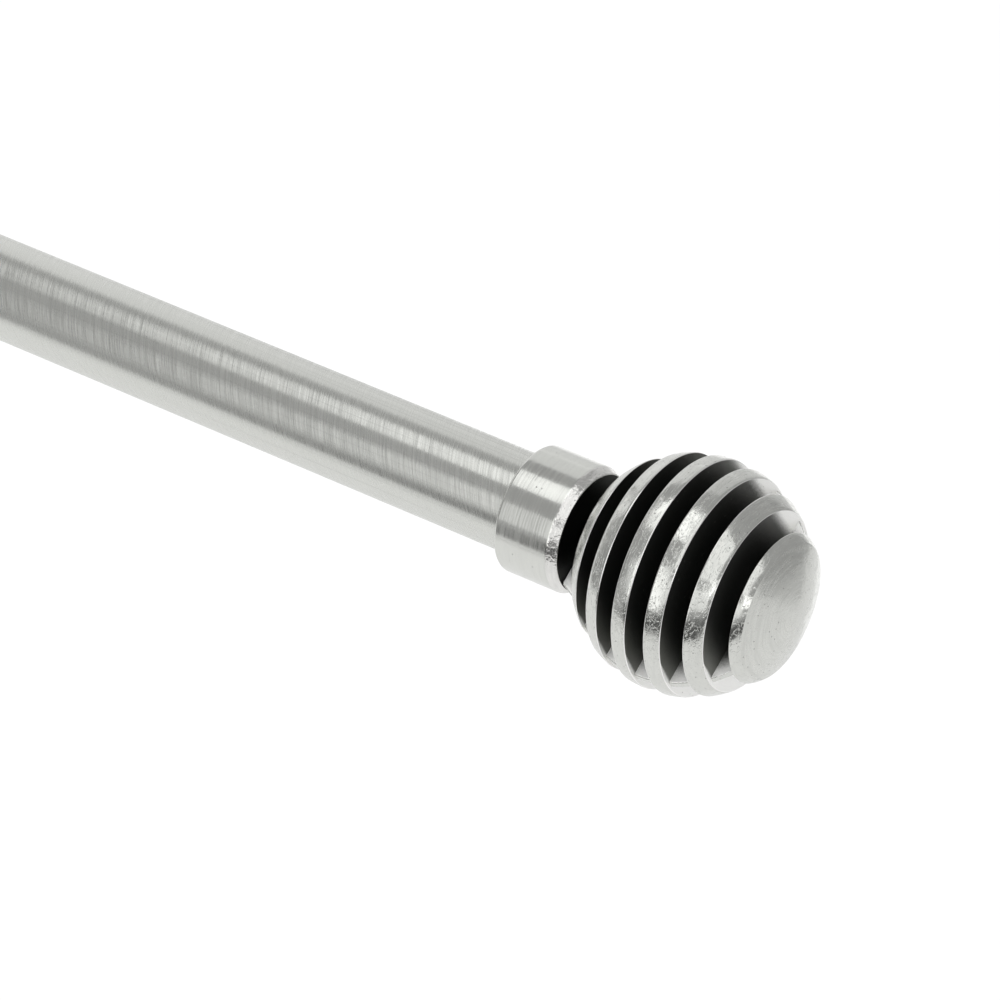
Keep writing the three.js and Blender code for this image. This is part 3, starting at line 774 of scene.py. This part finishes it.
def lofted(name, rings, place):
    """A closed skin over rings of points, with a flat cap on the first and last."""
    count = len(rings[0])
    vertices = [point for ring in rings for point in ring]
    faces = [tuple(range(count)), tuple((len(rings) - 1) * count + k for k in range(count))]
    for i in range(len(rings) - 1):
        for k in range(count):
            j = (k + 1) % count
            faces.append((i * count + k, i * count + j, (i + 1) * count + j, (i + 1) * count + k))
    piece = new_piece(name, vertices, faces)
    piece.location = place
    shell = bmesh.new()
    shell.from_mesh(piece.data)
    bmesh.ops.recalc_face_normals(shell, faces=shell.faces)
    shell.to_mesh(piece.data)
    shell.free()
    return piece


def combined(piece, others, operation):
    """Unites the others with the piece, or takes them from it. Each face keeps its finish."""
    for other in others:
        step = piece.modifiers.new("combine", "BOOLEAN")
        step.operation = operation
        step.solver = "EXACT"
        step.material_mode = "TRANSFER"
        step.object = other
    bpy.context.view_layer.update()
    mesh = bpy.data.meshes.new_from_object(piece.evaluated_get(bpy.context.evaluated_depsgraph_get()))
    piece.modifiers.clear()
    piece.data = mesh
    for other in others:
        bpy.data.objects.remove(other)


def facing(piece, way):
    """Turns a piece that was made along +X to run out of the wall, up or down."""
    quarter = pi / 2
    piece.rotation_euler = {"out": (0, 0, -quarter), "up": (0, -quarter, 0), "down": (0, quarter, 0)}[way]
    return piece


def stands_for(piece, node):
    """The piece takes the node's place, body and finish, and is shaded smooth between its sharp edges."""
    if piece.data.materials:
        piece.data.materials[0] = MATERIALS[SLOTS[node]]
    else:
        piece.data.materials.append(MATERIALS[SLOTS[node]])
    piece.data.shade_smooth()
    piece.data.set_sharp_from_angle(angle=SHARP_ANGLE)
    piece.modifiers.new("weighted_normals", "WEIGHTED_NORMAL").keep_sharp = True
    bpy.context.view_layer.update()
    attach(piece, BODY_OF[node])
    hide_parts(node)


# ---- Rod and finials ----

tube_low, tube_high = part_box("outer_tube")
AXIS = Vector((0, (tube_low.y + tube_high.y) / 2, (tube_low.z + tube_high.z) / 2))


def on_axis(x):
    return Vector((x, AXIS.y, AXIS.z))


def span(node, place, direction=1):
    """A node's first and last station along a finial's or tube's axis, and its radius."""
    low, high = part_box(node)
    first, last = sorted(((low.x - place) * direction, (high.x - place) * direction))
    return first, last, (high.z - low.z) / 2


def make_tube(node):
    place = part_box(node)[0].x
    first, last, radius = span(node, place)
    bore = radius - TUBE_WALL
    corners = [(s, r, FINE_EDGE) for s, r in ((first, bore), (last, bore), (last, radius), (first, radius))]
    stands_for(revolved(f"{node}_fine", rounded(corners), on_axis(place)), node)


def make_collar(side, place, direction):
    node = f"{side}_collar"
    first, last, radius = span(node, place, direction)
    tube = {"right": "outer_tube", "left": "inner_tube"}[side]
    bore = span(tube, place, direction)[2] + SLIDE_GAP
    outline = rounded([
        (first, bore, FINE_EDGE),
        (COLLAR_BORE_DEPTH, bore, 0),
        (COLLAR_BORE_DEPTH, STUD_HOLE_R, 0),
        (last, STUD_HOLE_R, FINE_EDGE),
        (last, COLLAR_NOSE_R, COLLAR_NOSE_ROUND),
        (COLLAR_SHOULDER, radius, COLLAR_SHOULDER_ROUND),
        (first, radius, COLLAR_MOUTH_ROUND),
    ])
    collar = revolved(f"{node}_fine", outline, on_axis(place), direction)
    for finish in (None, SLOT_BACK, CUT_EDGE):
        collar.data.materials.append(finish)
    for face in collar.data.polygons:
        ahead = face.normal.x * direction
        if ahead > FLAT_AHEAD:
            face.material_index = 1
        elif ahead > CHAMFER_AHEAD:
            face.material_index = 2
    stands_for(collar, node)


def ball_radius(station):
    return sqrt(BALL_R ** 2 - (station - BALL_CENTRE) ** 2)


def ball_corners(last):
    """The ball's (station, radius, fillet) corners, from the crown back along its surface."""
    rise = last - DOME_BACK - DOME_RIM_WIDTH
    crown_r = (DOME_RIM_R ** 2 + rise ** 2) / (2 * rise)
    crown = arc((last - crown_r, 0), crown_r, 0, asin(DOME_RIM_R / crown_r), DOME_STEPS)
    corners = [(STUD_HOLE_END, 0, 0), *[(s, r, 0) for s, r in crown[:-1]], (*crown[-1], EDGE)]
    for i in range(1, FILLET_STEPS + 1):
        share = i / FILLET_STEPS
        bulge = 4 * DOME_RIM_BULGE * share * (1 - share)
        corners.append((DOME_BACK + DOME_RIM_WIDTH * (1 - share),
                        DOME_RIM_R + (DOME_R - DOME_RIM_R) * share + bulge, 0))
    corners[-1] = (DOME_BACK, DOME_R, FINE_EDGE)
    corners.append((DOME_BACK, CORE_R, CORE_FILLET))
    for i in reversed(range(DISC_COUNT)):
        back = FIRST_DISC + i * DISC_PITCH
        front = back + DISC_THICKNESS
        corners.append((front, CORE_R, CORE_FILLET))
        for step in range(RIM_STEPS + 1):
            station = front + (back - front) * step / RIM_STEPS
            on_edge = step in (0, RIM_STEPS)
            corners.append((station, ball_radius(station) - DISC_EDGE_DROP * on_edge, EDGE * on_edge))
        corners.append((back, CORE_R, CORE_FILLET))
    return corners


def rib_reach(station, first):
    """How far the rib's edge is from the axis: along the ball, and in the neck on a straight taper."""
    if station >= FIRST_DISC:
        return sqrt((BALL_R - RIB_RECESS) ** 2 - (station - BALL_CENTRE) ** 2)
    nose = COLLAR_NOSE_R - RIB_RECESS / 2
    share = (station - first) / (FIRST_DISC - first)
    return nose + (rib_reach(FIRST_DISC, first) - nose) * share


def make_rib(name, first, place, direction, side):
    """Half of the rib across the slots, from inside the stem to the ball's surface."""
    half = RIB_THICKNESS / 2
    end = DOME_BACK + RIB_INTO_DOME
    lean = (direction * cos(RIB_ANGLE), sin(RIB_ANGLE))
    rings = []
    for i in range(RIB_STEPS + 1):
        station = first + (end - first) * i / RIB_STEPS
        reach = rib_reach(min(station, DOME_BACK), first)
        section = [(RIB_ROOT_R, half), (RIB_ROOT_R, -half)]
        for corner, turn in ((-1, -pi / 2), (1, 0)):
            centre = (reach - RIB_FILLET, corner * (half - RIB_FILLET))
            section += arc(centre, RIB_FILLET, turn, turn + pi / 2, FILLET_STEPS)
        rings.append([(direction * station,
                       side * out * lean[0] - across * lean[1],
                       side * out * lean[1] + across * lean[0]) for out, across in section])
    rib = lofted(name, rings, place)
    rib.data.materials.append(RIB_METAL)
    rib.data.materials.append(MATERIALS["finial_ball"])
    outward = Vector((0, side * lean[0], side * lean[1]))
    for face in rib.data.polygons:
        if face.normal.dot(outward) > RIM_OUTWARD:
            face.material_index = 1
    return rib


def make_ball(side, place, direction):
    """One casting: a stem with five discs, a domed end, and a rib across the slots between them."""
    node = f"{side}_ball"
    first, last, _ = span(node, place, direction)
    corners = ball_corners(last)
    corners += [(first, CORE_R, FINE_EDGE), (first, STUD_HOLE_R, FINE_EDGE), (STUD_HOLE_END, STUD_HOLE_R, 0)]
    ball = revolved(f"{node}_fine", rounded(corners), on_axis(place), direction)
    for finish in (MATERIALS["finial_ball"], SLOT_FACE, RIB_METAL, DOME_METAL, EDGE_HIGHLIGHT_METAL):
        ball.data.materials.append(finish)
    for face in ball.data.polygons:
        station = face.center.x * direction
        out = hypot(face.center.y, face.center.z)
        if station > DOME_BACK + SURFACE_SLACK:
            face.material_index = 3 if out < DOME_RIM_R - SURFACE_SLACK else 0
        elif abs(face.normal.x) > FLAT_AHEAD or out < CORE_R + SURFACE_SLACK:
            face.material_index = 1
        else:
            across = (station - FIRST_DISC) % DISC_PITCH
            # Faces along a disc's two edges take the lighter metal of the painted highlight.
            if min(across, DISC_THICKNESS - across) < EDGE_HIGHLIGHT_REACH:
                face.material_index = 4
    ribs = [make_rib(f"{node}_rib_{way}", first, on_axis(place), direction, way) for way in (-1, 1)]
    combined(ball, ribs, "UNION")
    stands_for(ball, node)


def thread(radius, pitch, depth):
    """The shape of a screw thread on whatever reaches the radius."""
    def shape(s, r, angle):
        if abs(r - radius) > TINY:
            return r
        phase = (s / pitch - angle / (2 * pi)) % 1
        return r - depth * min(1.0, abs(2 * phase - 1) * THREAD_FLANK)
    return shape


def rings_along(first, last, radius, pitch):
    """Corners closely spaced along a threaded length."""
    count = max(2, round((last - first) / pitch * THREAD_STEPS))
    return [(first + (last - first) * i / count, radius) for i in range(count + 1)]


def make_stud(side, place, direction):
    node = f"{side}_stud"
    first, last, radius = span(node, place, direction)
    thread_rings = rings_along(first + STUD_TIP, last - STUD_TIP, radius, THREAD_PITCH)
    outline = [(first, 0), (first, radius - STUD_TIP), *thread_rings, (last, radius - STUD_TIP), (last, 0)]
    stud = revolved(f"{node}_fine", outline[::-1], on_axis(place), direction, SMALL_SIDES,
                    thread(radius, THREAD_PITCH, THREAD_DEPTH))
    stands_for(stud, node)


def nut(node, place, direction, first, height, corner_r, hole_r, turn=0.0):
    """A hexagon nut whose corners are turned off at both faces."""
    flat = corner_r * cos(pi / 6)
    rows = [first + height * i / NUT_STEPS for i in range(NUT_STEPS + 1)]
    outline = [(first, hole_r + EDGE), (first + EDGE, hole_r), (first + height - EDGE, hole_r),
               (first + height, hole_r + EDGE), *[(s, corner_r) for s in reversed(rows)]]

    def shape(s, r, angle):
        if r < corner_r:
            return r
        from_flat = (angle + turn + pi / 6) % (pi / 3) - pi / 6
        from_face = min(s - first, first + height - s)
        return min(flat / cos(from_flat), flat - NUT_CORNER_DROP + from_face * NUT_CORNER_SLOPE, r)
    return revolved(f"{node}_fine", outline, place, direction, MEDIUM_SIDES, shape)


def make_collar_nut(side, place, direction):
    node = f"{side}_collar_nut"
    first, last, half_height = span(node, place, direction)
    low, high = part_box(node)
    corner_r = max(half_height, (high.y - low.y) / 2)
    stands_for(nut(node, on_axis(place), direction, first, last - first, corner_r, STUD_HOLE_R), node)


def make_end_plug(side, place, direction):
    node = f"{side}_end_plug"
    first, last, radius = span(node, place, direction)
    groove = PLUG_GROOVE
    corners = [(first, STUD_HOLE_R, EDGE), (last, STUD_HOLE_R, EDGE), (last, radius, groove)]
    for i in (3, 2, 1):
        at = first + (last - first) * i / 4
        corners += [(at + groove, radius, 0), (at + groove / 2, radius - groove, 0),
                    (at - groove / 2, radius - groove, 0), (at - groove, radius, 0)]
    corners.append((first, radius - EDGE, PLUG_MOUTH_ROUND))
    stands_for(revolved(f"{node}_fine", rounded(corners), on_axis(place), direction, MEDIUM_SIDES), node)


def make_bushing():
    node = "mouth_bushing"
    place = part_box(node)[0].x
    first, last, radius = span(node, place)
    bore = span("inner_tube", place)[2] + SLIDE_GAP
    outside = bore + BUSH_WALL
    corners = [(first, bore, EDGE), (last, bore, EDGE / 2), (last, outside, EDGE / 2),
               (BUSH_LIP, outside, 0), (BUSH_LIP, radius, EDGE / 2), (first, radius, BUSH_LIP_ROUND)]
    stands_for(revolved(f"{node}_fine", rounded(corners), on_axis(place)), node)


def make_guide_plug():
    node = "guide_plug"
    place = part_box(node)[0].x
    first, last, radius = span(node, place)
    _, tube_end, tube_r = span("inner_tube", place)
    stem = tube_r - TUBE_WALL - SLIDE_GAP
    shoulder = tube_end + SLIDE_GAP
    floor = last - GUIDE_DISH_DEPTH
    corners = [(first, 0, 0), (first, stem, GUIDE_ROUND), (shoulder, stem, 0),
               (shoulder, radius, GUIDE_ROUND / 2), (last, radius, GUIDE_ROUND),
               (last, GUIDE_DISH_R, SOFT_EDGE), (floor, GUIDE_DISH_R, SOFT_EDGE), (floor, 0, 0)]
    stands_for(revolved(f"{node}_fine", rounded(corners[::-1]), on_axis(place)), node)


# ---- Brackets ----

def wall_side(low, high):
    """The middle of a box's face towards the wall."""
    return Vector(((low + high).x / 2, high.y, (low + high).z / 2))


def underside(low, high):
    return Vector(((low + high).x / 2, (low + high).y / 2, low.z))


def hole(name, radius, first, last, place, way):
    outline = [(last, 0), (last, radius), (first, radius), (first, 0)]
    return facing(revolved(name, outline, place, sides=SMALL_SIDES), way)


def stadium(half_width, half_height, inset):
    """Points round a plate with half-round ends."""
    straight = half_height - half_width
    top = arc((0, straight), half_width - inset, 0, pi, ARC_STEPS * 2)
    return top + arc((0, -straight), half_width - inset, pi, 2 * pi, ARC_STEPS * 2)


def make_wall_plate(side):
    node = f"{side}_wall_plate"
    low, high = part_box(node)
    width, thickness, height = high - low
    levels = [(0, FINE_EDGE), (FINE_EDGE, 0)]
    levels += arc((thickness - PLATE_BEVEL, PLATE_BEVEL), PLATE_BEVEL, -pi / 2, 0, CURVE_STEPS)
    place = wall_side(low, high)
    rings = [[(x, -out, z) for x, z in stadium(width / 2, height / 2, inset)] for out, inset in levels]
    plate = lofted(f"{node}_fine", rings, place)
    sink = COUNTERSINK_R - SCREW_HOLE_R
    cutters = []
    for at in (SCREW_SPACING / 2, -SCREW_SPACING / 2):
        outline = [(thickness + CUT_PAST, 0), (thickness + CUT_PAST, COUNTERSINK_R + FINE_EDGE),
                   (thickness, COUNTERSINK_R + FINE_EDGE), (thickness - FINE_EDGE, COUNTERSINK_R),
                   (thickness - FINE_EDGE - sink, SCREW_HOLE_R), (-CUT_PAST, SCREW_HOLE_R), (-CUT_PAST, 0)]
        cutter = revolved(f"{node}_cut_{at > 0}", outline, place + Vector((0, 0, at)), sides=SMALL_SIDES)
        cutters.append(facing(cutter, "out"))
    combined(plate, cutters, "DIFFERENCE")
    stands_for(plate, node)


def make_socket(side):
    node = f"{side}_arm_socket"
    low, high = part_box(node)
    length = high.y - low.y
    flange_r = (high.x - low.x) / 2
    bar_low, bar_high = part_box(f"{side}_slide_bar")
    bore = (bar_high.x - bar_low.x) / 2 + SLIDE_GAP
    place = wall_side(low, high)
    fillet = arc((FLANGE_THICKNESS + FLANGE_FILLET, SOCKET_R + FLANGE_FILLET), FLANGE_FILLET, -pi / 2,
                 -pi, CURVE_STEPS)
    corners = [(SOCKET_FLOOR, 0, 0), (SOCKET_FLOOR, bore, SOFT_EDGE), (length, bore, EDGE),
               (length, SOCKET_R, SOCKET_ROUND), *[(s, r, 0) for s, r in fillet],
               (FLANGE_THICKNESS, flange_r, SOCKET_ROUND), (0, flange_r, FINE_EDGE), (0, 0, 0)]
    socket = facing(revolved(f"{node}_fine", rounded(corners), place, sides=MEDIUM_SIDES), "out")
    at = Vector((place.x, low.y + BOSS_FROM_MOUTH, place.z))
    boss_end = at.z - (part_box(f"{side}_projection_screw")[0].z + THUMB_HEIGHT + SLIDE_GAP)
    boss_start = (SOCKET_R + bore) / 2
    edge = [(boss_start, BOSS_R, 0), (boss_end, BOSS_R, BOSS_ROUND), (boss_end, 0, 0), (boss_start, 0, 0)]
    boss = facing(revolved(f"{node}_boss", rounded(edge), at, sides=SMALL_SIDES), "down")
    combined(socket, [boss], "UNION")
    screw_hole = hole(f"{node}_hole", SHANK_R + SLIDE_GAP, 0, boss_end + CUT_PAST, at, "down")
    combined(socket, [screw_hole], "DIFFERENCE")
    stands_for(socket, node)


def make_slide_bar(side):
    node = f"{side}_slide_bar"
    low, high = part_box(node)
    length = high.y - low.y
    radius = (high.x - low.x) / 2
    shoulder = length - TENON_SHOULDER
    corners = [(0, 0, 0), (length, 0, 0), (length, TENON_R, EDGE), (shoulder, TENON_R, EDGE / 2),
               (shoulder, radius, BAR_CHAMFER), (0, radius, BAR_CHAMFER)]
    bar = revolved(f"{node}_fine", rounded(corners), wall_side(low, high), sides=MEDIUM_SIDES)
    stands_for(facing(bar, "out"), node)


def cradle_section(inset):
    """Points round the bent strip, about its centre: towards the wall, then up."""
    outer_r = CRADLE_R + CRADLE_STRIP
    half = CRADLE_STRIP / 2
    curl = -outer_r - LIP_CURL_R
    tip = LIP_CURL_R + half
    arcs = [
        (CRADLE_R + half, BACK_RISE, half - inset, 0, pi),
        (0, 0, CRADLE_R + inset, 0, -pi),
        (curl, FRONT_RISE, LIP_CURL_R + CRADLE_STRIP - inset, 0, LIP_CURL),
        (curl + tip * cos(LIP_CURL), FRONT_RISE + tip * sin(LIP_CURL), half - inset,
         LIP_CURL, LIP_CURL + pi),
        (curl, FRONT_RISE, LIP_CURL_R + inset, LIP_CURL, 0),
        (0, 0, outer_r - inset, pi, 2 * pi),
    ]
    return [point for y, z, *bend in arcs for point in arc((y, z), *bend, ARC_STEPS)]


def make_cradle(side):
    node = f"{side}_cradle"
    low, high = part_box(node)
    half = (high.x - low.x) / 2
    outer_r = CRADLE_R + CRADLE_STRIP
    place = Vector(((low + high).x / 2, high.y - outer_r, low.z + outer_r))
    levels = arc((CRADLE_EDGE - half, CRADLE_EDGE), CRADLE_EDGE, -pi, -pi / 2, FILLET_STEPS)
    levels += [(-x, inset) for x, inset in reversed(levels)]
    rings = [[(x, y, z) for y, z in cradle_section(inset)] for x, inset in levels]
    cradle = lofted(f"{node}_fine", rings, place)
    near, far = CRADLE_R - CUT_PAST, outer_r + CUT_PAST
    tenon = hole(f"{node}_back", TENON_R + SLIDE_GAP, -far, -near, place, "out")
    screw = hole(f"{node}_bottom", SHANK_R + SLIDE_GAP, near, far, place, "down")
    combined(cradle, [tenon, screw], "DIFFERENCE")
    stands_for(cradle, node)


def make_weld_nut(side):
    node = f"{side}_weld_nut"
    low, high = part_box(node)
    corner_r = max(high.x - low.x, high.y - low.y) / 2
    made = nut(node, underside(low, high), 1, 0, high.z - low.z, corner_r, SHANK_R + SLIDE_GAP, pi / 6)
    stands_for(facing(made, "up"), node)


def fluted(s, r, angle):
    """The shape of a thumb screw's head, with the shank's thread above it."""
    if r < SHANK_R + SURFACE_SLACK:
        return thread(SHANK_R, SHANK_PITCH, SHANK_THREAD_DEPTH)(s, r, angle)
    if r < THUMB_R - THUMB_EDGE - SURFACE_SLACK:
        return r
    return r - FLUTE_DEPTH * abs(sin(THUMB_FLUTES * angle / 2)) ** FLUTE_SHARPNESS


def make_thumb_screw(side, kind):
    node = f"{side}_{kind}"
    low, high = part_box(node)
    length = high.z - low.z
    depth = THUMB_DISH_DEPTH
    dish = THUMB_R - THUMB_DISH_INSET
    rim = rounded([(depth, 0, 0), (depth, dish - depth, SOFT_EDGE), (0, dish, EDGE),
                   (0, THUMB_R, THUMB_EDGE), (THUMB_HEIGHT, THUMB_R, THUMB_EDGE),
                   (THUMB_HEIGHT, SHANK_R + FINE_EDGE, 0)])
    outline = rim + rings_along(THUMB_HEIGHT + FINE_EDGE, length - SHANK_TIP, SHANK_R, SHANK_PITCH)
    outline += [(length, SHANK_R - SHANK_TIP), (length, 0)]
    sides = THUMB_FLUTES * FLUTE_SIDES
    screw = revolved(f"{node}_fine", outline[::-1], underside(low, high), 1, sides, fluted)
    stands_for(facing(screw, "up"), node)


make_tube("outer_tube")
make_tube("inner_tube")
make_bushing()
make_guide_plug()
for side, direction in SIDES.items():
    low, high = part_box(f"{side}_collar")
    back = low.x if direction > 0 else high.x
    for make in (make_collar, make_ball, make_stud, make_collar_nut, make_end_plug):
        make(side, back, direction)
    for make in (make_wall_plate, make_socket, make_slide_bar, make_cradle, make_weld_nut):
        make(side)
    for kind in ("projection_screw", "rod_screw"):
        make_thumb_screw(side, kind)

for node, piece in frame["nodes"].items():
    piece.data.materials.clear()
    piece.data.materials.append(MATERIALS[SLOTS[node]])

make_world()
make_floor()
make_light_cards(AXIS)
make_lamp()
make_camera(on_axis(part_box("right_collar")[0][0]))
bpy.context.scene.view_settings.view_transform = "Standard"
